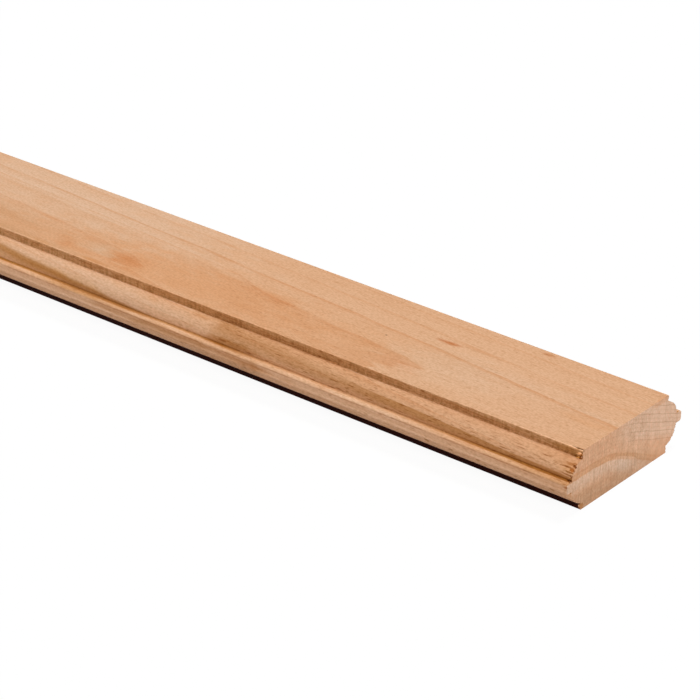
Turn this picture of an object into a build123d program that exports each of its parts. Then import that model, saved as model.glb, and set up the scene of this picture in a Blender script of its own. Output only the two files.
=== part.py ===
from build123d import *
import os

# Moulded flat baluster stock, run from one board and sawn to length.
# Frame: the stock lies on its flat back. X runs along the length, Y across
# the width and Z up through the thickness. The origin is the middle of the
# back, so the back is at Z = 0 and the sawn ends are at X = -length / 2 and
# X = +length / 2.

# Driving dimensions, in millimetres
length = 900.0  # from sawn end to sawn end
flat_width = 45.0  # the broad flat of the front, and the same on the back
fillet_height = 2.5  # square step down from each flat
ovolo_reach = 5.0  # how far the ovolo comes out past the fillet
ovolo_height = 5.75  # from the fillet's foot to the bead's shoulder
ovolo_swell = 1.3  # how far it bulges past the straight line between them
bead_projection = 2.5  # how far the bead stands out past the ovolo
bead_height = 3.5  # thickness of the bead along the edge's mid-line
bead_radius = 0.8  # rounding of the bead's two long edges
arris_radius = 0.3  # wear on the sharp long edges of the flats

# Places that follow from them, measured from the middle of the section
half_thickness = bead_height / 2 + ovolo_height + fillet_height
half_flat = flat_width / 2
half_ovolo = half_flat + ovolo_reach
half_width = half_ovolo + bead_projection
fillet_foot = half_thickness - fillet_height
shoulder = bead_height / 2


def section_quarter() -> Sketch:
    """One quarter of the section, from the middle of the whole section out.

    Local X runs across and local Y runs up. From the flat the outline drops
    square down the fillet, swells out along the ovolo to the bead's shoulder,
    runs level out to the bead and down its face to the mid-line.
    """
    with BuildSketch() as quarter:
        with BuildLine():
            Line((0, 0), (0, half_thickness))
            Line((0, half_thickness), (half_flat - arris_radius, half_thickness))
            RadiusArc(
                (half_flat - arris_radius, half_thickness),
                (half_flat, half_thickness - arris_radius),
                arris_radius,
            )
            Line((half_flat, half_thickness - arris_radius), (half_flat, fillet_foot))
            SagittaArc((half_flat, fillet_foot), (half_ovolo, shoulder), ovolo_swell)
            Line((half_ovolo, shoulder), (half_width - bead_radius, shoulder))
            RadiusArc(
                (half_width - bead_radius, shoulder),
                (half_width, shoulder - bead_radius),
                bead_radius,
            )
            Line((half_width, shoulder - bead_radius), (half_width, 0))
            Line((half_width, 0), (0, 0))
        make_face()
    return quarter.sketch


def whole_section() -> Sketch:
    """The quarter mirrored left to right, and that half mirrored front to back."""
    quarter = section_quarter()
    half = quarter + mirror(quarter, about=Plane.YZ)
    return half + mirror(half, about=Plane.XZ)


def moulded_baluster() -> Part:
    """The section run along X, centred on its length, with its back on Z = 0."""
    sawn_end = Plane(
        origin=(-length / 2, 0, half_thickness),
        x_dir=(0, 1, 0),
        z_dir=(1, 0, 0),
    )
    return extrude(sawn_end * whole_section(), amount=length)


os.makedirs("parts", exist_ok=True)

baluster = moulded_baluster()
baluster.label = "moulded_baluster"
export_step(baluster, "parts/moulded_baluster.step")
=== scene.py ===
import logging
import math
from collections.abc import Callable, Iterable, Iterator
from dataclasses import dataclass, field
from enum import Enum
from itertools import chain

import bmesh
import bpy
from mathutils import Matrix, Vector, noise

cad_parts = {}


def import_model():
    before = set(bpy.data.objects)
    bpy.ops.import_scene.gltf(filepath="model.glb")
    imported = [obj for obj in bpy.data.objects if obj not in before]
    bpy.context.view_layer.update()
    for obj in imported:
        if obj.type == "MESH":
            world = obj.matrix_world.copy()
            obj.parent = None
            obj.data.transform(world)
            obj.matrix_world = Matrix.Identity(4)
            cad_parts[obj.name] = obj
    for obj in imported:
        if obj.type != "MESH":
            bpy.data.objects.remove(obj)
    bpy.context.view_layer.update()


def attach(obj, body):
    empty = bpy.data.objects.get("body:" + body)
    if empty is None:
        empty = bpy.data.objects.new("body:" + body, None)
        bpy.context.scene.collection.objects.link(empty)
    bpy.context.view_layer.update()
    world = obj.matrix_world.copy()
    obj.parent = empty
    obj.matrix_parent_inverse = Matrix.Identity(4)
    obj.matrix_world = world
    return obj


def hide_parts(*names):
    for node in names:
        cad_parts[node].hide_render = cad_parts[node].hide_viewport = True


log = logging.getLogger("baluster")

NODE = "moulded_baluster"
MM = 0.001  # a millimetre in metres
JOIN = 1e-6  # points nearer than this, in metres, are one
QUARTER_TURN = 90.0  # in degrees

# Three parts: a place or a reach in mm, or a tint, which red, green and blue are multiplied by.
Triple = tuple[float, float, float]
# Red, green, blue and alpha.
Colour = tuple[float, float, float, float]
# Where a stretch starts, is full, starts to fall and ends.
Band = tuple[float, float, float, float]
# A curve's (value, level) pairs, in order.
Stops = tuple[tuple[float, float], ...]
# How much of a tint shows, and the tint.
Layer = tuple["Value", Triple]


class Operation(Enum):
    """What a Math node does with its inputs."""

    ADD = "ADD"
    SUBTRACT = "SUBTRACT"
    MULTIPLY = "MULTIPLY"
    DIVIDE = "DIVIDE"
    SQRT = "SQRT"
    ABSOLUTE = "ABSOLUTE"
    FRACT = "FRACT"
    MAXIMUM = "MAXIMUM"
    MINIMUM = "MINIMUM"


class Value:
    """A socket that shader expressions are written with."""

    def __init__(self, graph: "Graph", socket: bpy.types.NodeSocket) -> None:
        """Keep the socket and the graph that it is in."""
        self.graph = graph
        self.socket = socket

    def _math(self, operation: Operation, *inputs: object) -> "Value":
        """Add one Math node.

        Args:
            operation: What the node does.
            inputs: Its inputs in order, numbers or values.

        Returns:
            The node's result.
        """
        return self.graph.node("ShaderNodeMath", {"operation": operation.value}, dict(enumerate(inputs)))

    def __add__(self, other: object) -> "Value":
        """Sum."""
        return self._math(Operation.ADD, self, other)

    __radd__ = __add__

    def __sub__(self, other: object) -> "Value":
        """Difference."""
        return self._math(Operation.SUBTRACT, self, other)

    def __rsub__(self, other: object) -> "Value":
        """Difference, number first."""
        return self._math(Operation.SUBTRACT, other, self)

    def __mul__(self, other: object) -> "Value":
        """Product."""
        return self._math(Operation.MULTIPLY, self, other)

    __rmul__ = __mul__

    def __truediv__(self, other: object) -> "Value":
        """Quotient."""
        return self._math(Operation.DIVIDE, self, other)

    def root(self) -> "Value":
        """Square root."""
        return self._math(Operation.SQRT, self)

    def size(self) -> "Value":
        """The value without its sign."""
        return self._math(Operation.ABSOLUTE, self)

    def past_whole(self) -> "Value":
        """What is left past the whole part."""
        return self._math(Operation.FRACT, self)

    def at_least(self, other: object) -> "Value":
        """The larger of the two."""
        return self._math(Operation.MAXIMUM, self, other)

    def at_most(self, other: object) -> "Value":
        """The smaller of the two."""
        return self._math(Operation.MINIMUM, self, other)

    def step(self, start: float, end: float) -> "Value":
        """A soft step from 0 at start to 1 at end, falling where end is the smaller.

        Args:
            start: Where the step is still 0.
            end: Where it has reached 1.

        Returns:
            The step, never below 0 or above 1.
        """
        rising = self.graph.node(
            "ShaderNodeMapRange",
            {"interpolation_type": "SMOOTHSTEP"},
            {"Value": self, "From Min": min(start, end), "From Max": max(start, end)},
        )
        return rising if start < end else 1 - rising

    def between(self, start: float, rise: float, fall: float, end: float) -> "Value":
        """1 from rise to fall, and softly down to 0 at start and at end.

        Args:
            start: Where it leaves 0.
            rise: Where it reaches 1.
            fall: Where it leaves 1.
            end: Where it is 0 again.

        Returns:
            The band.
        """
        return self.step(start, rise) * self.step(end, fall)


class Graph:
    """The node tree of one material or world."""

    def __init__(self, owner: bpy.types.ID) -> None:
        """Start an empty tree.

        Args:
            owner: The material or the world that has the tree.
        """
        owner.use_nodes = True
        self.owner = owner
        self.tree = owner.node_tree
        self.tree.nodes.clear()

    def node(
        self,
        kind: str,
        settings: dict[str, object],
        inputs: dict[object, object],
        output: object = 0,
    ) -> Value:
        """Add a node of any kind.

        Args:
            kind: Blender's name for it.
            settings: Its settings, set first. "stops" gives a ramp's stops.
            inputs: Numbers, colours or values for its sockets, by name or place.
            output: The name or place of the result that is wanted.

        Returns:
            That result.
        """
        made = self.tree.nodes.new(kind)
        for name, setting in settings.items():
            if name == "stops":
                self._set_stops(made.color_ramp, setting)
            else:
                setattr(made, name, setting)
        for name, given in inputs.items():
            if isinstance(given, Value):
                self.tree.links.new(given.socket, made.inputs[name])
            else:
                made.inputs[name].default_value = given
        return Value(self, made.outputs[output])

    @staticmethod
    def _set_stops(ramp: bpy.types.ColorRamp, stops: Stops) -> None:
        """Give a ramp its stops.

        Args:
            ramp: The ramp, as a new node has it.
            stops: Its places and grey levels, in order.
        """
        while len(ramp.elements) < len(stops):
            ramp.elements.new(1.0)
        for element, (place, level) in zip(ramp.elements, stops):
            element.position = place
            element.color = (level, level, level, 1.0)

    def ramp(self, value: Value, stops: Stops) -> Value:
        """A curve of straight runs through the stops.

        Args:
            value: Where on the curve.
            stops: The curve, with levels from 0 to 1.

        Returns:
            The level.
        """
        low, high = stops[0][0], stops[-1][0]
        scaled = tuple(((place - low) / (high - low), level) for place, level in stops)
        return self.node("ShaderNodeValToRGB", {"stops": scaled}, {0: (value - low) / (high - low)})

    def mix(self, share: object, first: object, second: object, blend: str = "MIX") -> Value:
        """Mix two colours.

        Args:
            share: How much of the second, from 0 to 1.
            first: The colour beneath.
            second: The colour that goes over it.
            blend: How it goes over it.

        Returns:
            The mixed colour.
        """
        return self.node(
            "ShaderNodeMix",
            {"data_type": "RGBA", "blend_type": blend, "clamp_factor": True},
            {0: share, 6: first, 7: second},
            output=2,
        )

    def tint(self, share: object, colour: object, factor: Triple) -> Value:
        """Multiply a colour.

        Args:
            share: How much of the tint shows, from 0 to 1.
            colour: The colour beneath, as a value or a plain colour.
            factor: What its red, green and blue are multiplied by.

        Returns:
            The tinted colour.
        """
        return self.mix(share, colour, (*factor, 1.0), "MULTIPLY")

    def layered(self, colour: object, layers: Iterable[Layer]) -> Value:
        """Tint a colour again and again, making each layer only when its turn comes.

        Args:
            colour: The colour beneath, as a value or a plain colour.
            layers: The layers, in order.

        Returns:
            The tinted colour.
        """
        for share, factor in layers:
            colour = self.tint(share, colour, factor)
        return colour

    def point(self, x: object, y: object, z: object) -> Value:
        """A vector of three numbers."""
        return self.node("ShaderNodeCombineXYZ", {}, {0: x, 1: y, 2: z})

    def vector(self, operation: Operation, first: object, second: object) -> Value:
        """Work on two vectors part by part.

        Args:
            operation: What is done.
            first: A vector.
            second: The other one.

        Returns:
            The new vector.
        """
        return self.node("ShaderNodeVectorMath", {"operation": operation.value}, {0: first, 1: second})

    def noise(self, place: Value, detail: float = 2.0, output: object = 0) -> Value:
        """Smooth noise round 0.5.

        Args:
            place: Where it is read. One unit is about the width of a blot.
            detail: How many finer layers it has.
            output: Which of the node's results is wanted, the grey level or "Color".

        Returns:
            The noise.
        """
        inputs = {"Vector": place, "Scale": 1.0, "Detail": detail}
        return self.node("ShaderNodeTexNoise", {}, inputs, output)

    def surface(self, shader: Value) -> None:
        """Lead a shader to the tree's output."""
        of_world = isinstance(self.owner, bpy.types.World)
        end = self.tree.nodes.new("ShaderNodeOutputWorld" if of_world else "ShaderNodeOutputMaterial")
        self.tree.links.new(shader.socket, end.inputs["Surface"])


def seen_as(red: float, green: float, blue: float) -> Colour:
    """A colour given as a screen shows it.

    Args:
        red: From 0 to 255.
        green: From 0 to 255.
        blue: From 0 to 255.

    Returns:
        The same colour on the renderer's linear scale.
    """
    shares = (level / 255 for level in (red, green, blue))
    linear = (share / 12.92 if share <= 0.04045 else ((share + 0.055) / 1.055) ** 2.4 for share in shares)
    return (*linear, 1.0)


@dataclass(frozen=True)
class Blemish:
    """A mark or a cloud in the wood: its place and half sizes in mm, and what it does to the colour."""

    place: Triple
    reach: Triple
    tint: Triple


@dataclass(frozen=True)
class Outline:
    """How a blemish ends.

    It starts and is full at these shares of its half sizes. Its edge strays by the uneven share of
    them, in blots this long and this wide in mm.
    """

    start: float
    full: float
    uneven: float
    along: float
    across: float


@dataclass(frozen=True)
class Lenses:
    """Scattered lenses of one size.

    Their pitch is in mm along the stock, round the rings and across the rings. Their half size is a
    share of it, and inside the core's share of that they are at full strength.
    """

    pitch: Triple
    half_size: float
    core: float = 0.45


@dataclass
class Grain:
    """Where a point lies in the tree that the stock was cut from, in mm."""

    graph: Graph
    along: Value
    across: Value
    up: Value
    ring: Value
    round_the_ring: Value
    sawn: Value

    def blots(self, along: float, across: float, up: float, detail: float = 2.0) -> Value:
        """Noise in blots that lie along the stock.

        Args:
            along: A blot's length, in mm.
            across: Its width.
            up: Its height.
            detail: How many finer layers the noise has.

        Returns:
            Noise round 0.5.
        """
        place = self.graph.point(self.along / along, self.across / across, self.up / up)
        return self.graph.noise(place, detail)

    def ring_blots(self, along: float, width: float) -> Value:
        """Noise in blots that lie along the stock and follow the rings.

        Args:
            along: A blot's length, in mm.
            width: Its width, round the ring and across the rings.

        Returns:
            Noise round 0.5.
        """
        place = self.graph.point(self.along / along, self.round_the_ring / width, self.ring / width)
        return self.graph.noise(place)


@dataclass(frozen=True)
class SteamedBeech:
    """Bare planed beech: a solid figure of rings, rays, fibres and brown stain.

    The sawn ends share its ring lines, and the rest of their colouring is laid on separately. Every
    place is in mm: along the stock from the sawn end at +X, where the figure was read, across it from
    the middle, and up from the back. A ring's place is its height at the top of the arch that the
    rings make there. The numbers in the methods are such places, sizes in mm, and shares.
    """

    end_at: float = 450.0
    middle_up: float = 10.0
    pith_across: float = -14.0
    arch_radius: float = 16.0
    arch_slope: float = 0.44
    taper: float = 0.0235
    side_taper_from: float = -18.0
    side_taper: float = 0.00195
    wander: float = 0.9
    wander_size: Triple = (70.0, 9.0, 9.0)
    quick_wander: float = 0.35
    quick_wander_size: Triple = (14.0, 2.2, 2.2)
    rough: float = 0.50
    rough_fibres: float = 0.16
    rough_end: float = 0.12
    specular: float = 0.04
    relief_strength: float = 0.5
    relief_depth: float = 0.08
    fibre_height: float = 0.6
    ray_depth: float = 0.25
    first_ring: float = 13.0
    ring_width: float = 2.88
    ring_shifts: Stops = ((12.0, 0.0), (14.0, 0.07), (19.0, 0.12), (21.2, 0.15), (24.2, 0.11), (27.0, 0.04))
    ring_warmth: Stops = (
        (-12.0, 0.5), (3.0, 0.35), (9.0, 0.4), (14.0, 0.7), (18.3, 1.0),
        (18.7, 0.3), (21.0, 0.6), (21.4, 0.25), (24.0, 0.35), (36.0, 0.4),
    )
    ring_lines: Stops = (
        (-12.0, 0.5), (14.0, 0.35), (18.0, 0.45), (20.4, 0.5), (21.2, 1.0),
        (22.2, 0.9), (23.2, 0.5), (27.0, 0.4), (36.0, 0.5),
    )
    ring_line: Band = (0.80, 0.93, 0.975, 1.0)
    pale: Colour = seen_as(228, 183, 147)
    drift_tint: Triple = (0.985, 0.96, 0.93)
    mottle_tint: Triple = (0.975, 0.96, 0.94)
    blushed: Triple = (0.93, 0.84, 0.75)
    late_line: Triple = (0.92, 0.80, 0.69)
    stained: Triple = (0.70, 0.57, 0.38)
    sharp_stain: Band = (9.6, 13.0, 13.8, 14.2)
    soft_stain: Band = (8.5, 12.2, 12.6, 15.5)
    inner_stain: Band = (3.0, 5.8, 6.2, 7.4)
    old_stain: Band = (-8.6, -5.0, -4.6, -4.1)
    clear_stretch: Band = (-268.0, -246.0, -152.0, -147.0)
    heart_stretch: Band = (-156.0, -146.0, -112.0, -60.0)
    flecks: Lenses = Lenses((5.2, 0.62, 17.0), 0.24)
    small_flecks: Lenses = Lenses((2.6, 0.34, 8.0), 0.27)
    dashes: Lenses = Lenses((9.0, 0.55, 6.0), 0.26)
    short_dashes: Lenses = Lenses((4.2, 0.42, 3.5), 0.25)
    ray_tint: Triple = (0.70, 0.58, 0.45)
    fibre_tint: Triple = (0.88, 0.82, 0.74)
    speckle_tint: Triple = (0.87, 0.83, 0.77)
    dash_tint: Triple = (0.62, 0.47, 0.34)
    short_dash_tint: Triple = (0.76, 0.66, 0.56)
    strand_tint: Triple = (0.70, 0.58, 0.46)
    fray_tint: Triple = (0.62, 0.44, 0.25)
    cutter_mark_tint: Triple = (0.80, 0.75, 0.65)
    # Darker fillets and quirks at the shelf: painted shade.
    fillet_shade_tint: Triple = (0.76, 0.62, 0.40)
    quirk_shade_tint: Triple = (0.66, 0.50, 0.22)
    # Paler arrises: a painted highlight, with some wear towards the sawn end.
    highlight_and_wear_tint: Triple = (1.20, 1.24, 1.30)
    bead_line_tint: Triple = (0.80, 0.70, 0.62)
    # Painted shade on the bead's face.
    bead_face_shade_tint: Triple = (0.92, 0.90, 0.91)
    # Painted light from below on the bead's lower rounding.
    lower_round_light_tint: Triple = (1.01, 1.04, 1.09)
    # These two stand for shadow that the photograph shows, not for darker wood.
    underside_tint: Triple = (0.5, 0.4, 0.34)
    under_tint: Triple = (0.085, 0.02, 0.013)
    # How strong the painted shade on the fillets and quirks is along the stock.
    fillet_shade_along: Stops = (
        (-240.0, 0.7), (-190.0, 0.7), (-170.0, 0.85), (-90.0, 0.85), (-65.0, 0.7), (0.0, 0.75)
    )
    quirk_shade_along: Stops = (
        (-240.0, 1.0), (-200.0, 0.85), (-170.0, 0.7), (-146.0, 0.8), (-136.0, 1.0), (-125.0, 0.5),
        (-95.0, 0.35), (-60.0, 0.5), (-35.0, 0.9), (-15.0, 1.0), (0.0, 1.0),
    )
    sawn_pale: Colour = seen_as(227, 180, 146)
    sawn_golden: Triple = (0.92, 0.86, 0.76)
    sawn_light: Triple = (1.02, 1.18, 1.36)
    sawn_corner: Triple = (0.85, 0.82, 0.78)
    sawn_line: Triple = (0.80, 0.76, 0.71)
    # Painted shade over the sawn end's lower part.
    sawn_painted_shade: Triple = (0.81, 0.85, 0.87)
    sawn_middle: Triple = (1.02, 1.06, 1.10)
    sawn_cloud: Triple = (0.91, 0.89, 0.87)
    sawn_blush: Triple = (1.0, 0.93, 0.90)
    sawn_streak: Triple = (0.87, 0.83, 0.79)
    sawn_wide_streak: Triple = (0.94, 0.94, 0.92)
    sawn_speckle: Triple = (0.88, 0.84, 0.79)
    clouds: tuple[Blemish, ...] = (
        Blemish((-163, -12, 20), (80, 15, 5), (0.965, 0.87, 0.77)),
        Blemish((-240, 10, 20), (85, 28, 20), (1, 1.11, 1.25)),
        Blemish((-188, -14.5, 20), (8.5, 5, 5), (0.94, 0.82, 0.70)),
        Blemish((-215, -17, 20), (4.5, 3.4, 5), (0.95, 0.84, 0.74)),
        Blemish((-198, -21.4, 20), (7, 1.3, 3), (0.92, 0.80, 0.64)),
        Blemish((-223, -21.8, 20), (6, 1.8, 3), (0.97, 0.90, 0.80)),
        Blemish((-202, -13, 20), (9, 4.5, 5), (1, 1.14, 1.30)),
        Blemish((-135, -4, 20), (13, 3.2, 5), (0.96, 0.88, 0.80)),
        Blemish((-76, -14, 20), (9, 5, 5), (0.97, 0.91, 0.88)),
        Blemish((-62, -8, 20), (26, 13, 5), (1, 1.05, 1.10)),
        Blemish((-190, -25.5, 14.8), (58, 4, 4.2), (0.99, 1.05, 1.14)),
        Blemish((-88, -29.2, 11.5), (50, 1.8, 1.2), (1.04, 1.11, 1.19)),
        Blemish((-132, -27.3, 12.8), (13, 2.4, 1.8), (0.76, 0.62, 0.40)),
        Blemish((-158, -30, 10.25), (43, 2.5, 1.25), (0.76, 0.65, 0.50)),
        Blemish((-197, -29.5, 11.5), (14, 1.5, 0.8), (0.85, 0.76, 0.62)),
        Blemish((-150, -30, 8.5), (29, 2, 0.9), (0.76, 0.65, 0.52)),
        Blemish((-123, -30, 9.2), (13, 2, 2.3), (0.84, 0.74, 0.62)),
        Blemish((-160, -29, 12), (18, 1.8, 0.8), (1.02, 1.08, 1.14)),
        Blemish((-200, -29.2, 12), (24, 1.5, 0.8), (0.93, 0.86, 0.72)),
        Blemish((-216, -26.8, 13.3), (30, 2, 2.4), (0.92, 0.82, 0.62)),
        Blemish((-12, -28, 12), (26, 0.8, 0.8), (0.74, 0.64, 0.46)),
        Blemish((-6, -29, 11.6), (24, 2.2, 1.1), (0.88, 0.80, 0.66)),
        Blemish((-142, -23.6, 16.9), (12, 1.3, 0.9), (0.90, 0.83, 0.72)),
        Blemish((-38, -24.4, 16.3), (48, 3.2, 2.4), (0.95, 0.92, 0.90)),
        Blemish((-2, -26, 14.5), (5, 2.6, 3.2), (1, 0.92, 0.78)),
        Blemish((-218, -22.5, 17.9), (60, 0.5, 0.8), (1.10, 1.17, 1.22)),
        Blemish((-8, -7.6, 20), (14, 2.4, 2), (0.99, 0.94, 0.88)),
        Blemish((-5, -22.5, 18.7), (8, 0.5, 1.5), (0.88, 0.80, 0.58)),
        Blemish((-9, -3, 20), (14, 1.7, 2), (1.01, 1.05, 1.10)),
        Blemish((-45, -3, 20), (38, 8, 2), (1, 1.03, 1.07)),
        Blemish((-121, -29.6, 9.5), (2.2, 1.5, 4), (0.88, 0.80, 0.70)),
        Blemish((-72, 7.1, 20), (4.6, 1.2, 2), (0.74, 0.46, 0.28)),
        Blemish((-62, 8.6, 20), (9, 0.7, 2), (0.95, 0.88, 0.82)),
        Blemish((-90.5, -1.4, 20), (0.5, 0.4, 0.6), (0.45, 0.40, 0.36)),
        Blemish((-43, 20.4, 20), (3.4, 0.9, 2), (0.80, 0.62, 0.48)),
    )
    cloud_outline: Outline = Outline(1.3, 0.1, 0.7, 7.0, 2.4)
    # Torn wood by the visible end: its own colour, with painted shade in its holes and its split, and
    # painted highlights on its splinters.
    torn_light_and_shade: tuple[Blemish, ...] = (
        Blemish((-0.5, -22.7, 17.5), (0.75, 0.65, 0.6), (0.46, 0.25, 0.02)),
        Blemish((-1.4, -22.8, 17.45), (0.9, 0.45, 0.25), (1.35, 1.30, 0.80)),
        Blemish((-0.6, -22.5, 18.2), (0.6, 0.4, 0.5), (0.80, 0.58, 0.34)),
        Blemish((-1.5, -22.5, 18.3), (0.8, 0.4, 0.22), (1.45, 1.50, 1.70)),
        Blemish((-1, -22.5, 18.72), (0.9, 0.4, 0.3), (2.1, 2.2, 2.5)),
        Blemish((-1.6, -22, 19.7), (2.4, 0.36, 0.7), (0.22, 0.13, 0.02)),
        Blemish((-2.4, -22.4, 19.85), (3.6, 0.3, 0.4), (1.18, 1.20, 1.24)),
        Blemish((0, 18.5, 19.3), (1, 5.5, 1.2), (0.98, 0.87, 0.77)),
        Blemish((0, -22, 1.2), (0.8, 1, 1.1), (0.78, 0.62, 0.42)),
        Blemish((-2.3, -22.6, 17.6), (0.8, 0.4, 0.4), (0.50, 0.38, 0.20)),
        Blemish((-0.5, -25.7, 15.8), (0.7, 0.6, 0.7), (0.36, 0.20, 0.08)),
        Blemish((0, -26.13, 15.3), (0.5, 0.5, 0.45), (1.40, 1.45, 1.40)),
        Blemish((-0.9, -26.4, 14.9), (1, 0.6, 0.75), (0.62, 0.40, 0.19)),
        Blemish((-1.5, -26.87, 14.12), (1.8, 0.3, 0.28), (0.50, 0.36, 0.20)),
        Blemish((-2.6, -26.2, 15.2), (1.6, 0.25, 0.25), (0.62, 0.50, 0.36)),
        Blemish((-0.65, -27.24, 13.19), (0.6, 0.45, 0.45), (0.34, 0.20, 0.09)),
        Blemish((-0.8, -27.6, 11.8), (1, 0.6, 0.35), (0.38, 0.20, 0.03)),
        Blemish((-0.5, -30, 10.6), (0.9, 0.4, 0.4), (0.62, 0.42, 0.28)),
    )
    torn_outline: Outline = Outline(1.15, 0.5, 0.8, 0.7, 0.4)

    def material(self) -> bpy.types.Material:
        """Build the finish's material."""
        graph = Graph(bpy.data.materials.new("steamed_beech"))
        grain = self._grain(graph)
        figure = chain(self._ground(grain), self._rings(grain), self._stain(grain))
        colour = graph.layered(self.pale, figure)
        rays = self._rays(grain)
        fibres = self._fibres(grain)
        clouds = self._blemishes(grain, self.clouds, self.cloud_outline)
        details = chain(self._flecks(grain, rays, fibres), clouds, self._recesses(grain))
        colour = graph.layered(colour, details)
        colour = graph.mix(grain.sawn, colour, graph.layered(self.sawn_pale, self._sawn_end(grain)))
        colour = graph.layered(colour, self._blemishes(grain, self.torn_light_and_shade, self.torn_outline))
        relief = self._relief(grain, rays, fibres)
        shine = {
            "Base Color": colour,
            "Roughness": self.rough + self.rough_fibres * fibres + self.rough_end * grain.sawn,
            "Specular IOR Level": self.specular,
            "Normal": relief,
        }
        graph.surface(graph.node("ShaderNodeBsdfPrincipled", {}, shine))
        return graph.owner

    def _grain(self, graph: Graph) -> Grain:
        """Find a point's place in the tree.

        Args:
            graph: The material's graph.

        Returns:
            The place, with the slow wander that real rings have.
        """
        where = graph.node("ShaderNodeTexCoord", {}, {}, output="Object")
        parts = graph.node("ShaderNodeSeparateXYZ", {}, {0: where}).socket.node.outputs
        along, across, up = (Value(graph, parts[axis]) * (1 / MM) for axis in "XYZ")
        along = along - self.end_at
        off_pith = across - self.pith_across
        reach = (off_pith * off_pith + self.arch_radius**2).root()
        side = (self.side_taper_from - across).at_least(0.0)
        slow, quick = (
            graph.noise(graph.point(along / size[0], across / size[1], up / size[2]), detail=1.0) - 0.5
            for size in (self.wander_size, self.quick_wander_size)
        )
        ring = up + self.arch_slope * (reach - self.arch_radius)
        ring = ring + along * (self.taper + side * self.side_taper)
        ring = ring + slow * self.wander + quick * self.quick_wander
        round_the_ring = across - (up - self.middle_up) * (self.arch_slope * off_pith / reach)
        normal = graph.node("ShaderNodeTexCoord", {}, {}, output="Normal")
        facing = graph.node("ShaderNodeSeparateXYZ", {}, {0: normal}, output="X")
        sawn = facing.size().step(0.6, 0.9)
        return Grain(graph, along, across, up, ring, round_the_ring, sawn)

    def _ground(self, grain: Grain) -> Iterator[Layer]:
        """The ground's slow drift in warmth over the board."""
        drift = grain.blots(90.0, 16.0, 16.0)
        mottle = grain.ring_blots(9.0, 2.5)
        yield drift.step(0.35, 0.7), self.drift_tint
        yield mottle.step(0.45, 0.75), self.mottle_tint

    def _rings(self, grain: Grain) -> Iterator[Layer]:
        """The growth rings, each warmer towards its outer edge and closed by a thin dark line."""
        graph = grain.graph
        shift = graph.ramp(grain.ring, self.ring_shifts)
        lifted = grain.along.step(-138, -158) * grain.ring.between(16, 17.5, 19.6, 20.6) * 0.9
        place = ((grain.ring - lifted - self.first_ring) / self.ring_width + shift).past_whole()
        warmth = graph.ramp(grain.ring, self.ring_warmth)
        blush = place.step(-0.8, 0.9) * place.step(1, 0.965) * warmth
        patch = 0.55 + 0.45 * grain.blots(16.0, 4.0, 4.0, detail=3.0).step(0.3, 0.6)
        yield blush * patch, self.blushed
        strength = graph.ramp(grain.ring, self.ring_lines)
        broken = grain.ring_blots(22.0, 6.0)
        line = place.between(*self.ring_line) * strength * broken.step(0.2, 0.55)
        yield line, self.late_line

    def _stain(self, grain: Grain) -> Iterator[Layer]:
        """The golden brown bands of older wood, each sharp at its outer edge and fading inwards."""
        wave = grain.blots(12.0, 3.0, 3.0) - 0.5
        on_side = grain.across.step(-21, -23)
        on_shelf = grain.up.step(12, 11.8) * on_side
        plain = grain.across.step(-28.6, -29.4).at_least(grain.along.step(-128, -118)) * on_shelf
        clear = (grain.along - grain.up * 0.5 + wave * 5.0).between(*self.clear_stretch) * on_side
        swelled = grain.ring - grain.along.step(-80, -50) * 0.45 - grain.along.step(-30, -4) * 0.5
        sharp = swelled.between(*self.sharp_stain)
        soft = grain.ring.between(*self.soft_stain) * 0.68
        sharpness = grain.along.step(-96, -66)
        outer = sharp * sharpness + soft * (1 - sharpness)
        heart = (grain.along + wave * 9.0).between(*self.heart_stretch) * on_side
        heart = heart * grain.ring.step(17, 13.5) * 0.32
        lifted = (-158.0 - grain.along).at_least(0.0).at_most(110.0) * 0.0225
        inner = (grain.ring - lifted).between(*self.inner_stain)
        older = grain.ring.between(*self.old_stain) * 0.6
        share = (outer.at_least(heart) * (1 - clear)).at_least(inner) * (1 - plain)
        yield share.at_least(older), self.stained

    def _rays(self, grain: Grain) -> Value:
        """1 in a ray and 0 between them: upright lenses that show as flecks, flakes or lines by the cut."""
        flecks = self._lenses(grain, self.flecks)
        small = self._lenses(grain, self.small_flecks)
        return (flecks * 0.85).at_least(small * 0.5)

    @staticmethod
    def _lenses(grain: Grain, lenses: Lenses) -> Value:
        """Scattered lenses of one size.

        Args:
            grain: The point's place in the tree.
            lenses: How far apart and how large they are.

        Returns:
            1 in a lens and 0 between them.
        """
        graph = grain.graph
        along, wide, deep = lenses.pitch
        place = graph.point(grain.along / along, grain.round_the_ring / wide, grain.ring / deep)
        inputs = {"Vector": place, "Scale": 1.0, "Randomness": 1.0}
        distance = graph.node("ShaderNodeTexVoronoi", {"feature": "F1"}, inputs, output="Distance")
        return distance.step(lenses.half_size, lenses.half_size * lenses.core)

    @staticmethod
    def _fibres(grain: Grain) -> Value:
        """Noise round 0.5 for fine long fibres with the pores between them."""
        long = grain.ring_blots(24.0, 0.5)
        pores = grain.ring_blots(1.5, 0.22)
        return long * 0.5 + pores * 0.5

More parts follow.
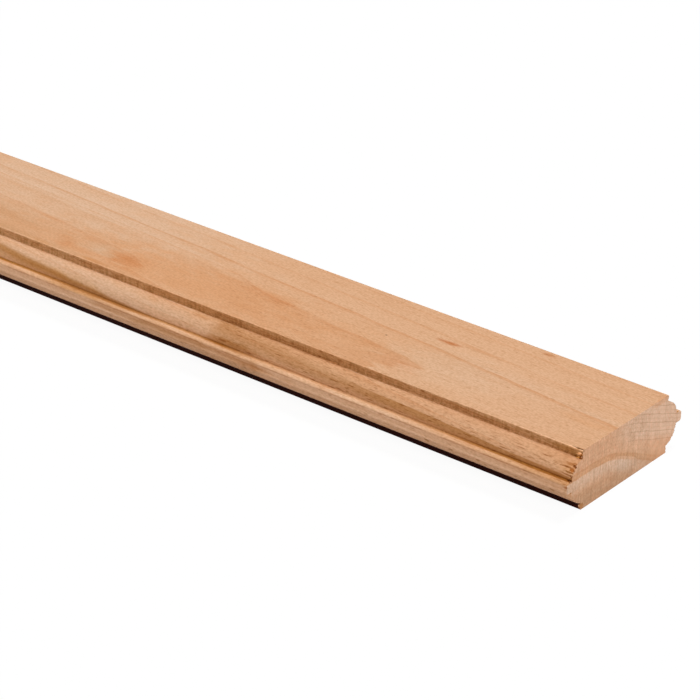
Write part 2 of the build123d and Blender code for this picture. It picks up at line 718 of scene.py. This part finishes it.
    def _flecks(self, grain: Grain, rays: Value, fibres: Value) -> Iterator[Layer]:
        """Dashes, strands, rays and fibres, strongest on the moulded side by the end, and a fine speckle.

        Args:
            grain: The point's place in the tree.
            rays: 1 in a ray.
            fibres: The fibre noise.

        Yields:
            Each of them.
        """
        on_side = grain.across.step(-22.3, -22.6)
        dashes = self._lenses(grain, self.dashes) * on_side * grain.along.step(-190, -110)
        yield dashes * grain.up.between(11.5, 12, 15, 19), self.dash_tint
        short = self._lenses(grain, self.short_dashes) * on_side * grain.along.step(-150, -60)
        yield short * grain.up.between(11.5, 12, 14.5, 17), self.short_dash_tint
        strands = grain.blots(3.2, 0.4, 0.3).step(0.46, 0.66) * on_side * grain.up.step(17.3, 17.6)
        yield strands, self.strand_tint
        fray = grain.blots(5.0, 0.4, 0.4).step(0.52, 0.66) * grain.along.step(-7, -1) * on_side
        yield fray * 0.8, self.fray_tint
        focus = 0.35 + 0.65 * grain.along.step(-200, -110)
        on_bead = grain.across.step(-29, -29.6) * grain.up.step(12, 11.6)
        flaky = (0.7 + 0.3 * on_side - 0.4 * on_bead) * focus
        yield rays * flaky, self.ray_tint
        yield fibres.step(0.47, 0.66) * flaky, self.fibre_tint
        speckle = grain.blots(1.1, 0.5, 0.5, detail=3.0)
        yield speckle.step(0.36, 0.66), self.speckle_tint

    @staticmethod
    def _blemishes(grain: Grain, blemishes: tuple[Blemish, ...], outline: Outline) -> Iterator[Layer]:
        """Blemishes of one kind.

        Args:
            grain: The point's place in the tree.
            blemishes: The blemishes.
            outline: How they end.

        Yields:
            Each of them.
        """
        graph = grain.graph
        place = graph.point(grain.along, grain.across, grain.up)
        wide = outline.across
        fine = graph.point(grain.along / outline.along, grain.across / wide, grain.up / wide)
        rough = graph.vector(Operation.SUBTRACT, graph.noise(fine, output="Color"), (0.5, 0.5, 0.5))
        rough = graph.vector(Operation.MULTIPLY, rough, (2 * outline.uneven,) * 3)
        for blemish in blemishes:
            off = graph.vector(Operation.MULTIPLY, rough, blemish.reach)
            off = graph.vector(Operation.ADD, place, off)
            off = graph.vector(Operation.SUBTRACT, off, blemish.place)
            off = graph.vector(Operation.DIVIDE, off, blemish.reach)
            distance = graph.node("ShaderNodeVectorMath", {"operation": "LENGTH"}, {0: off}, output="Value")
            yield distance.step(outline.start, outline.full), blemish.tint

    def _recesses(self, grain: Grain) -> Iterator[Layer]:
        """The darker fillets and quirks at the shelf, painted shade; a painted highlight with some wear on
        the arrises; painted shade and light on the bead; and the painted shadow beneath.
        """
        graph = grain.graph
        off_middle = (grain.up - self.middle_up).size()
        edge = grain.across.size()
        # Darker fillets and quirks at the shelf: painted shade, stronger at some places along the stock.
        fillet = edge.between(22.3, 22.45, 22.9, 23.1) * off_middle.step(7, 7.4)
        fillet = fillet * off_middle.step(9.95, 9.75)
        quirk_shade = edge.between(26.9, 27.45, 28.1, 28.7) * off_middle.between(1.6, 1.7, 1.8, 2.5)
        fillet = fillet * (1 - 0.14 * off_middle.step(8.6, 9.6))
        yield fillet * graph.ramp(grain.along, self.fillet_shade_along), self.fillet_shade_tint
        yield quirk_shade * graph.ramp(grain.along, self.quirk_shade_along), self.quirk_shade_tint
        marks = grain.blots(1.0, 4.0, 2.6)
        yield marks.step(0.45, 0.62) * fillet, self.cutter_mark_tint
        # Paler arrises: a painted highlight, with some wear towards the sawn end.
        arris = edge.between(22.1, 22.2, 22.5, 22.6) * off_middle.step(9.6, 9.75)
        highlight_and_wear = arris * (0.3 + 0.7 * grain.along.step(-34, -4))
        yield highlight_and_wear, self.highlight_and_wear_tint
        uneven = grain.blots(9.0, 2.0, 2.0).step(0.35, 0.6)
        bead_line = edge.step(29.4, 29.7) * grain.up.between(10.8, 11, 11.2, 11.45) * uneven
        yield bead_line, self.bead_line_tint
        # Painted shade on the bead's face.
        bead_face_shade = edge.step(29.4, 29.7) * grain.up.between(9.2, 9.8, 11, 11.4)
        yield bead_face_shade, self.bead_face_shade_tint
        # Painted light from below on the bead's lower rounding.
        lower_round_light = edge.step(29, 29.4) * grain.up.between(8, 8.3, 9.2, 9.8)
        yield lower_round_light, self.lower_round_light_tint
        underside = edge.between(22.3, 22.45, 26.6, 27.3) * grain.up.step(5.2, 3)
        yield underside * 0.7, self.underside_tint
        under = edge.between(22.3, 22.45, 22.7, 23.6) * grain.up.step(3, 2.2)
        yield under * grain.along.step(-0.2, -1.1), self.under_tint

    def _sawn_end(self, grain: Grain) -> Iterator[Layer]:
        """The end grain: arched rings, a golden band, greyer and paler wood, painted shade over its lower
        part, and upright saw streaks.
        """
        graph = grain.graph
        off = (grain.across + 12.0).at_least(0.0)
        dip = 0.52 * ((off * off + 64.0).root() - 8.0)
        wave = grain.blots(12.0, 2.2, 2.2, detail=3.0) - 0.5
        band = grain.up + dip + wave * 0.7 - 0.5 * grain.across.step(-12, -17)
        left = grain.across.step(-3, -9)
        right = grain.across.step(-2, 5)
        low = band + grain.across.between(-9, -4, 3, 9) * -1.0
        golden = low.step(10.7, 11.1) * band.step(13.3, 12.9) * (0.8 - 0.15 * left)
        golden = golden * (1 - 0.45 * grain.across.step(5, 12))
        rims = band.between(12.2, 12.6, 12.9, 13.3).at_least(low.between(10.7, 11, 11.2, 11.7)) * 0.5
        above = band.between(12.8, 13.2, 13.6, 15) * 0.2 * (1 - left)
        lower = band.between(2.4, 4, 5.2, 5.8) * 0.35 + band.step(3, 1.8) * 0.5
        pale = band.between(5.4, 9.2, 10.6, 11.1) * (1 - 0.6 * right)
        outer = grain.ring.step(13.5, 18.5) * grain.across.step(-10, 4) * 0.85
        plainer = 1 - 0.5 * grain.across.step(6, 16)
        place = ((grain.ring - self.first_ring) / self.ring_width + 0.07).past_whole()
        thin = place.between(0.84, 0.95, 0.985, 1) * grain.ring.step(12.5, 17) * (0.35 + 0.65 * right)
        faint = place.between(0.3, 0.4, 0.44, 0.56) * grain.ring.step(12.5, 17) * right * 0.3
        cloud = grain.blots(8.0, 2.6, 2.6, detail=4.0)
        streak = grain.blots(8.0, 0.34, 6.0)
        wide_streak = grain.blots(8.0, 1.1, 9.0)
        speckle = grain.blots(2.0, 0.6, 0.75, detail=3.0)
        apart = graph.point(grain.along / 8 + 7.0, grain.across / 1.3, grain.up / 1.0)
        blush = graph.noise(apart, detail=3.0)
        yield (pale + outer).at_most(1.0), self.sawn_light
        yield golden.at_least(above).at_least(lower), self.sawn_golden
        yield rims, self.sawn_golden
        corner = grain.up.step(6, 1) * grain.across.between(6, 13, 22, 27)
        yield corner * 0.5, self.sawn_corner
        yield thin.at_least(faint), self.sawn_line
        # Painted shade: darker towards the bottom and the -Y side.
        painted_shade = grain.up.step(11, 2) * grain.across.step(22, 0)
        yield painted_shade, self.sawn_painted_shade
        middle = grain.across.between(-9, 0, 8, 14) * grain.up.between(1, 4, 12, 15)
        yield middle, self.sawn_middle
        yield cloud.step(0.35, 0.65), self.sawn_cloud
        yield blush.step(0.48, 0.68), self.sawn_blush
        yield streak.step(0.38, 0.66) * plainer, self.sawn_streak
        yield wide_streak.step(0.42, 0.62) * plainer, self.sawn_wide_streak
        yield speckle.step(0.40, 0.62) * plainer, self.sawn_speckle

    def _relief(self, grain: Grain, rays: Value, fibres: Value) -> Value:
        """Fine relief: fibres and open rays on the planed faces, saw marks on the ends.

        Args:
            grain: The point's place in the tree.
            rays: 1 in a ray.
            fibres: The fibre noise.

        Returns:
            The normal.
        """
        marks = grain.blots(8.0, 0.28, 7.0, detail=3.0)
        planed = fibres * self.fibre_height - rays * self.ray_depth
        height = planed * (1 - grain.sawn) + marks * grain.sawn
        inputs = {"Height": height, "Strength": self.relief_strength, "Distance": self.relief_depth * MM}
        return grain.graph.node("ShaderNodeBump", {}, inputs)


@dataclass(frozen=True)
class WhiteGround:
    """The floor's finish: plain pale matt, shown as white with a faint shadow."""

    paleness: float = 0.88
    shown_plain: float = 0.94

    def material(self) -> bpy.types.Material:
        """Build the finish's material."""
        graph = Graph(bpy.data.materials.new("white_ground"))
        matt = graph.node("ShaderNodeBsdfDiffuse", {}, {"Color": (self.paleness,) * 3 + (1.0,)})
        white = graph.node("ShaderNodeBsdfDiffuse", {}, {"Color": (1.0, 1.0, 1.0, 1.0)})
        plain = graph.node("ShaderNodeEmission", {}, {"Color": (1.0, 1.0, 1.0, 1.0), "Strength": 1.0})
        shown = graph.node("ShaderNodeMixShader", {}, {0: self.shown_plain, 1: white, 2: plain})
        graph.surface(graph.node("ShaderNodeMixShader", {}, {0: seen_directly(graph), 1: matt, 2: shown}))
        return graph.owner


def seen_directly(graph: Graph) -> Value:
    """1 for what the camera sees, also in a reflection or through glass, and 0 for light on the object.

    Args:
        graph: The graph that it is used in.

    Returns:
        The share.
    """
    straight, glossy, through = (
        graph.node("ShaderNodeLightPath", {}, {}, output=name)
        for name in ("Is Camera Ray", "Is Glossy Ray", "Is Transmission Ray")
    )
    return straight.at_least(glossy).at_least(through)


@dataclass
class EdgeMoulding:
    """The section's quarter, from the middle of the front flat out to the middle of the bead, in mm."""

    flat_width: float = 45.0
    fillet_height: float = 2.5
    ovolo_reach: float = 5.0
    ovolo_height: float = 5.75
    ovolo_swell: float = 1.3
    bead_projection: float = 2.5
    bead_height: float = 3.5
    bead_radius: float = 0.8
    arris_radius: float = 0.3
    flat_stops: tuple[float, ...] = (5.0, 10.0, 14.0, 17.0, 19.0, 20.2, 21.0, 21.6, 22.0)
    arris_steps: int = 4
    fillet_steps: int = 8
    ovolo_steps: int = 30
    shelf_steps: int = 6
    round_steps: int = 6
    bead_steps: int = 4

    @property
    def half_thickness(self) -> float:
        """From the section's middle to the front flat."""
        return self.bead_height / 2 + self.ovolo_height + self.fillet_height

    @property
    def half_width(self) -> float:
        """From the section's middle to the bead's face."""
        return self.flat_width / 2 + self.ovolo_reach + self.bead_projection

    def draw(self, start: float) -> bpy.types.Object:
        """Draw the quarter as a chain of edges, standing on the plane across the stock at start.

        Args:
            start: Where along the stock, in mm.

        Returns:
            The object, left in edit mode.
        """
        bpy.ops.mesh.primitive_plane_add(size=MM, location=(0.0, 0.0, 0.0))
        quarter = bpy.context.active_object
        bpy.ops.object.mode_set(mode="EDIT")
        bpy.ops.mesh.select_all(action="SELECT")
        bpy.ops.mesh.merge(type="CENTER")
        bpy.ops.transform.translate(value=(start * MM, 0.0, self.half_thickness * MM))
        at = 0.0
        for stop in (*self.flat_stops, self.flat_width / 2 - self.arris_radius):
            self._run(stop - at, 0.0, 1)
            at = stop
        half_flat = self.flat_width / 2
        middle = (start, half_flat - self.arris_radius, self.half_thickness - self.arris_radius)
        self._turn(middle, QUARTER_TURN, self.arris_steps)
        self._run(0.0, self.arris_radius - self.fillet_height, self.fillet_steps)
        self._ovolo(start)
        self._run(self.bead_projection - self.bead_radius, 0.0, self.shelf_steps)
        middle = (start, self.half_width - self.bead_radius, self.bead_height / 2 - self.bead_radius)
        self._turn(middle, QUARTER_TURN, self.round_steps)
        self._run(0.0, self.bead_radius - self.bead_height / 2, self.bead_steps)
        return quarter

    def _ovolo(self, start: float) -> None:
        """Spin the ovolo's arc from the fillet's foot to the bead's shoulder.

        Args:
            start: Where along the stock the section stands, in mm.
        """
        chord = math.hypot(self.ovolo_reach, self.ovolo_height)
        radius = (chord**2 / 4 + self.ovolo_swell**2) / (2 * self.ovolo_swell)
        back = (radius - self.ovolo_swell) / chord
        foot = Vector((self.flat_width / 2, self.half_thickness - self.fillet_height))
        shoulder = Vector((foot.x + self.ovolo_reach, foot.y - self.ovolo_height))
        middle = (foot + shoulder) / 2 - back * Vector((self.ovolo_height, self.ovolo_reach))
        angle = 2 * math.degrees(math.asin(chord / 2 / radius))
        self._turn((start, middle.x, middle.y), angle, self.ovolo_steps)

    @staticmethod
    def _run(across: float, up: float, steps: int) -> None:
        """Draw a straight run from the selected end of the chain.

        Args:
            across: How far it goes across, in mm.
            up: How far it goes up, in mm.
            steps: How many edges it has.
        """
        move = {"value": (0.0, across * MM / steps, up * MM / steps)}
        for _ in range(steps):
            bpy.ops.mesh.extrude_vertices_move(TRANSFORM_OT_translate=move)

    @staticmethod
    def _turn(middle: Triple, degrees: float, steps: int) -> None:
        """Draw an arc down and outwards from the selected end of the chain.

        Args:
            middle: The arc's middle, in mm.
            degrees: How far it turns.
            steps: How many edges it has.
        """
        centre = tuple(part * MM for part in middle)
        bpy.ops.mesh.spin(steps=steps, angle=math.radians(degrees), center=centre, axis=(1.0, 0.0, 0.0))


@dataclass(frozen=True)
class Dent:
    """Wood broken out by the visible sawn end, in mm: its place from there, its reach and its push."""

    place: Triple
    reach: float
    push: Triple


@dataclass
class BalusterStock:
    """The length of moulded stock, sawn square at both ends."""

    length: float = 900.0
    moulding: EdgeMoulding = field(default_factory=EdgeMoulding)
    finish: SteamedBeech = field(default_factory=SteamedBeech)
    end_rows: tuple[float, ...] = (
        0.3, 0.6, 0.9, 1.2, 1.5, 1.8, 2.2, 2.6, 3.1, 3.6, 4.2, 5.0, 6.0, 7.5, 10.0, 15.0, 25.0
    )
    middle_rows: int = 34
    grid: float = 0.5
    grid_inside_flat: float = 2.5
    end_facing: float = 0.99
    crease: float = 30.0
    torn_reach: float = 6.0
    ragged_step: float = 0.07
    ragged: float = 0.35
    ragged_inside_flat: float = 1.0
    ragged_fade: float = 1.5
    ragged_length: float = 100.0
    ragged_fineness: float = 1.9
    ragged_finer: float = 2.3
    ragged_finer_share: float = 0.6
    ragged_below: float = 0.05
    ragged_gain: float = 1.6
    dents: tuple[Dent, ...] = (
        Dent((-0.4, -22.6, 17.5), 0.8, (-0.1, 0.45, -0.25)),
        Dent((-1.1, -23, 17.4), 0.6, (0, 0.1, -0.3)),
        Dent((-0.9, -22.5, 18.9), 0.8, (0, 0.3, 0)),
        Dent((-0.4, -25.7, 15.7), 0.8, (-0.1, 0.3, -0.3)),
        Dent((-0.7, -26.4, 14.9), 0.8, (0, 0.35, -0.25)),
        Dent((-0.6, -27.2, 13.2), 0.6, (-0.1, 0.4, -0.1)),
        Dent((-0.6, -27.5, 11.8), 0.7, (-0.2, 0.25, -0.2)),
        Dent((-0.3, -29.6, 11.7), 0.6, (-0.3, 0.1, -0.2)),
        Dent((-0.4, -30, 10.6), 0.5, (0, 0.3, 0)),
        Dent((-0.2, -22.5, 1.2), 0.9, (-0.35, 0.25, 0)),
    )
    splinter_reach: float = 3.4
    splinter_depth: float = 0.5
    splinter_half_width: float = 0.12
    splinter_steps: int = 6
    front_depth: float = 1.0
    same_place: float = 0.01

    def build(self) -> bpy.types.Object:
        """Model the stock.

        Returns:
            The piece, at its place in the CAD's frame.
        """
        stock = self.moulding.draw(-self.length / 2)
        stock.name = "baluster_stock"
        stock.data.name = "baluster_stock"
        self._mirror(stock)
        self._run_out()
        self._grid_the_ends()
        self._lift()
        self._roughen_ends()
        self._split_arris()
        self._break_out()
        self._smooth()
        return stock

    def dress(self, stock: bpy.types.Object) -> None:
        """Give the stock its finish, hide the frame's moulded_baluster part and attach the stock to the
        root body.

        Args:
            stock: The piece.
        """
        stock.data.materials.append(self.finish.material())
        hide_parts(NODE)
        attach(stock, "root")

    @staticmethod
    def _mirror(stock: bpy.types.Object) -> None:
        """Mirror the quarter left to right and front to back, and fill the section.

        Args:
            stock: The quarter's chain of edges, in edit mode.
        """
        bpy.ops.object.mode_set(mode="OBJECT")
        bpy.ops.object.transform_apply(location=True, rotation=True, scale=True)
        both = stock.modifiers.new("four_quarters", "MIRROR")
        both.use_axis = (False, True, True)
        both.use_clip = True
        both.merge_threshold = JOIN
        bpy.ops.object.modifier_apply(modifier=both.name)
        bpy.ops.object.mode_set(mode="EDIT")
        bpy.ops.mesh.select_all(action="SELECT")
        bpy.ops.mesh.remove_doubles(threshold=JOIN)
        bpy.ops.mesh.edge_face_add()

    def _rows(self) -> list[float]:
        """How far each row of the mesh is from the one before.

        Returns:
            The steps along the stock, in mm.
        """
        first = [0.0, *self.end_rows]
        last = [self.length - place for place in reversed(first)]
        gap = (last[0] - first[-1]) / self.middle_rows
        middle = [first[-1] + gap * row for row in range(1, self.middle_rows)]
        places = first + middle + last
        return [after - before for before, after in zip(places, places[1:])]

    def _run_out(self) -> None:
        """Extrude the section's selected face row by row to the other end."""
        for step in self._rows():
            bpy.ops.mesh.extrude_region_move(TRANSFORM_OT_translate={"value": (step * MM, 0.0, 0.0)})
        bpy.ops.mesh.select_all(action="SELECT")
        bpy.ops.mesh.normals_make_consistent(inside=False)

    def _grid_the_ends(self) -> None:
        """Cut the ends' faces into a grid along both moulded edges."""
        half_width = self.moulding.half_width
        inner = self.moulding.flat_width / 2 - self.grid_inside_flat
        across = [inner + self.grid * row for row in range(int((half_width - inner) / self.grid))]
        up = [self.grid * row for row in range(int(self.moulding.half_thickness / self.grid))]
        cuts = [((0.0, 1.0, 0.0), (0.0, side * place, 0.0)) for place in across for side in (-1, 1)]
        cuts += [
            ((0.0, 0.0, 1.0), (0.0, 0.0, side * place))
            for place in up
            for side in (-1, 1)
            if place or side > 0
        ]
        for normal, place in cuts:
            self._select_ends()
            at = tuple(part * MM for part in place)
            bpy.ops.mesh.bisect(plane_co=at, plane_no=normal, use_fill=False)

    def _select_ends(self) -> None:
        """Select the faces of both ends, and nothing else."""
        bpy.ops.mesh.select_all(action="DESELECT")
        bpy.ops.mesh.select_mode(type="FACE")
        mesh = bmesh.from_edit_mesh(bpy.context.edit_object.data)
        for face in mesh.faces:
            face.select = abs(face.normal.x) > self.end_facing
        mesh.select_flush_mode()
        bmesh.update_edit_mesh(bpy.context.edit_object.data)

    def _lift(self) -> None:
        """Set the stock on its back."""
        bpy.ops.mesh.select_all(action="SELECT")
        bpy.ops.transform.translate(value=(0.0, 0.0, self.moulding.half_thickness * MM))

    def _roughen_ends(self) -> None:
        """Set the saw's ragged edge back along the moulded edges, squeezing the rows behind it."""
        rough_from = self.moulding.flat_width / 2 - self.ragged_inside_flat

        def level_at(place: Vector) -> int:
            """How many steps a point is set back, read from noise that is the same each run."""
            fine = self.ragged_fineness
            cell = Vector((place.x / self.ragged_length, place.y * fine, place.z * fine))
            both = noise.noise(cell) + self.ragged_finer_share * noise.noise(cell * self.ragged_finer)
            share = (both - self.ragged_below) * self.ragged_gain
            reach = min(1.0, max(0.0, (abs(place.y) - rough_from) / self.ragged_fade))
            return round(max(0.0, min(1.0, share)) * reach * self.ragged / self.ragged_step)

        for side in (-1, 1):
            kept = side * (self.length / 2 - self.torn_reach)
            for level in range(1, int(self.ragged / self.ragged_step) + 1):

                def set_back(place: Vector, at: int = level, end: int = side, since: float = kept) -> bool:
                    """Whether a point lies near this end and goes this many steps."""
                    return end * place.x > end * since and level_at(place) == at

                if self._select_points(set_back):
                    bpy.ops.transform.resize(
                        value=(1.0 - level * self.ragged_step / self.torn_reach, 1.0, 1.0),
                        center_override=(kept * MM, 0.0, 0.0),
                    )

    def _break_out(self) -> None:
        """Push the dents in beside the visible end."""
        for dent in self.dents:
            middle = Vector((self.length / 2 + dent.place[0], dent.place[1], dent.place[2]))
            mesh = bmesh.from_edit_mesh(bpy.context.edit_object.data)
            nearest = min(mesh.verts, key=lambda point: (point.co / MM - middle).length_squared)
            at = nearest.co / MM
            self._select_points(lambda place: (place - at).length < self.same_place)
            bpy.ops.transform.translate(
                value=tuple(part * MM for part in dent.push),
                use_proportional_edit=True,
                proportional_edit_falloff="SMOOTH",
                proportional_size=dent.reach * MM,
            )

    def _split_arris(self) -> None:
        """Press a split into the front flat beside the arris, deepest at the sawn end."""
        end = self.length / 2
        top = 2 * self.moulding.half_thickness
        split_at = -self.moulding.flat_stops[-1]
        for step in range(self.splinter_steps):
            start = end - self.splinter_reach * (1 - step / self.splinter_steps)

            def in_split(place: Vector, since: float = start) -> bool:
                """Whether a point lies on the front flat, in the split and past its start."""
                beside = abs(place.y - split_at) < self.splinter_half_width
                return place.x > since and beside and place.z > top - self.front_depth

            if self._select_points(in_split):
                drop = -self.splinter_depth / self.splinter_steps * MM
                bpy.ops.transform.translate(value=(0.0, 0.0, drop))

    @staticmethod
    def _select_points(wanted: Callable[[Vector], bool]) -> bool:
        """Select the points that a test picks by place, and nothing else.

        Args:
            wanted: The test, which is given a point's place in mm.

        Returns:
            Whether there are any.
        """
        bpy.ops.mesh.select_mode(type="VERT")
        bpy.ops.mesh.select_all(action="DESELECT")
        mesh = bmesh.from_edit_mesh(bpy.context.edit_object.data)
        found = False
        for point in mesh.verts:
            if wanted(point.co / MM):
                point.select = True
                found = True
        mesh.select_flush_mode()
        bmesh.update_edit_mesh(bpy.context.edit_object.data)
        return found

    def _smooth(self) -> None:
        """Smooth the curved faces and leave the edges between flats sharp."""
        bpy.ops.object.mode_set(mode="OBJECT")
        bpy.ops.object.shade_smooth_by_angle(angle=math.radians(self.crease))


@dataclass
class StudioFloor:
    """The plain floor that the stock lies on."""

    width: float = 12.0
    finish: WhiteGround = field(default_factory=WhiteGround)

    def build(self) -> bpy.types.Object:
        """Lay the floor.

        Returns:
            The floor, which is no part of the object.
        """
        bpy.ops.mesh.primitive_plane_add(size=self.width, location=(0.0, 0.0, 0.0))
        floor = bpy.context.active_object
        floor.name = "studio_floor"
        floor.data.materials.append(self.finish.material())
        return floor


@dataclass(frozen=True)
class Lamp:
    """A distant lamp: where it stands, its share of full light and how wide it looks, in degrees."""

    name: str
    azimuth: float
    elevation: float
    share: float
    spread: float

    def build(self) -> bpy.types.Object:
        """Hang the lamp.

        Returns:
            The lamp.
        """
        data = bpy.data.lights.new(self.name, "SUN")
        data.energy = math.pi * self.share
        data.angle = math.radians(self.spread)
        lamp = bpy.data.objects.new(self.name, data)
        turn, rise = math.radians(self.azimuth), math.radians(self.elevation)
        towards = Vector((math.cos(turn) * math.cos(rise), math.sin(turn) * math.cos(rise), math.sin(rise)))
        lamp.rotation_euler = towards.to_track_quat("Z", "Y").to_euler()
        lamp.location = towards
        bpy.context.scene.collection.objects.link(lamp)
        return lamp


@dataclass
class StudioLight:
    """Soft light from overhead, a stronger lamp low off the sawn end, and a little from all round."""

    lamps: tuple[Lamp, ...] = (
        Lamp("overhead", 90.0, 74.0, 0.49, 16.0),
        Lamp("end_side", -35.0, 43.0, 0.67, 22.0),
    )
    all_round: float = 0.10

    def build(self) -> None:
        """Hang the lamps and light the world."""
        for lamp in self.lamps:
            lamp.build()
        world = bpy.data.worlds.new("studio")
        bpy.context.scene.world = world
        graph = Graph(world)
        white = (1.0, 1.0, 1.0, 1.0)
        dim = graph.node("ShaderNodeBackground", {}, {"Color": white, "Strength": self.all_round})
        shown = graph.node("ShaderNodeBackground", {}, {"Color": white, "Strength": 1.0})
        graph.surface(graph.node("ShaderNodeMixShader", {}, {0: seen_directly(graph), 1: dim, 2: shown}))


@dataclass(frozen=True)
class PhotoCamera:
    """The camera as worked out from the stock's straight edges in the photograph.

    Places are in mm and angles in degrees. The frame, the focal length and the place where the foot of
    the sawn end is seen, from the picture's middle, are in pixels.
    """

    frame: float = 700.0
    focal: float = 2924.5
    azimuth: float = 39.126
    elevation: float = 27.348
    roll: float = 0.385
    foot: Triple = (450.0, 0.0, 0.0)
    foot_seen_at: tuple[float, float] = (273.61, 130.79)
    distance: float = 877.7
    film: float = 36.0
    clip_start: float = 0.01

    def build(self) -> bpy.types.Object:
        """Set the camera up.

        Returns:
            The camera.
        """
        turn, rise, roll = (math.radians(angle) for angle in (self.azimuth, self.elevation, self.roll))
        back = Vector((math.sin(turn) * math.cos(rise), -math.cos(turn) * math.cos(rise), math.sin(rise)))
        level = Vector((math.cos(turn), math.sin(turn), 0.0))
        upright = back.cross(level)
        right = math.cos(roll) * level + math.sin(roll) * upright
        up = math.cos(roll) * upright - math.sin(roll) * level
        aside, below = (offset * self.distance / self.focal for offset in self.foot_seen_at)
        place = (Vector(self.foot) + self.distance * back - aside * right + below * up) * MM
        data = bpy.data.cameras.new("photo_camera")
        data.sensor_width = self.film
        data.lens = self.film * self.focal / self.frame
        data.clip_start = self.clip_start
        camera = bpy.data.objects.new("photo_camera", data)
        camera.matrix_world = Matrix((right, up, back)).transposed().to_4x4()
        camera.location = place
        bpy.context.scene.collection.objects.link(camera)
        bpy.context.scene.camera = camera
        return camera


def main() -> None:
    """Build the scene round the frame."""
    logging.basicConfig(level=logging.INFO, format="%(name)s: %(message)s")
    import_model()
    bpy.context.scene.view_settings.view_transform = "Standard"
    bpy.ops.object.select_all(action="DESELECT")
    PhotoCamera().build()
    StudioLight().build()
    StudioFloor().build()
    maker = BalusterStock()
    stock = maker.build()
    maker.dress(stock)
    log.info("%s: %d faces", stock.name, len(stock.data.polygons))


if __name__ == "__main__":
    main()
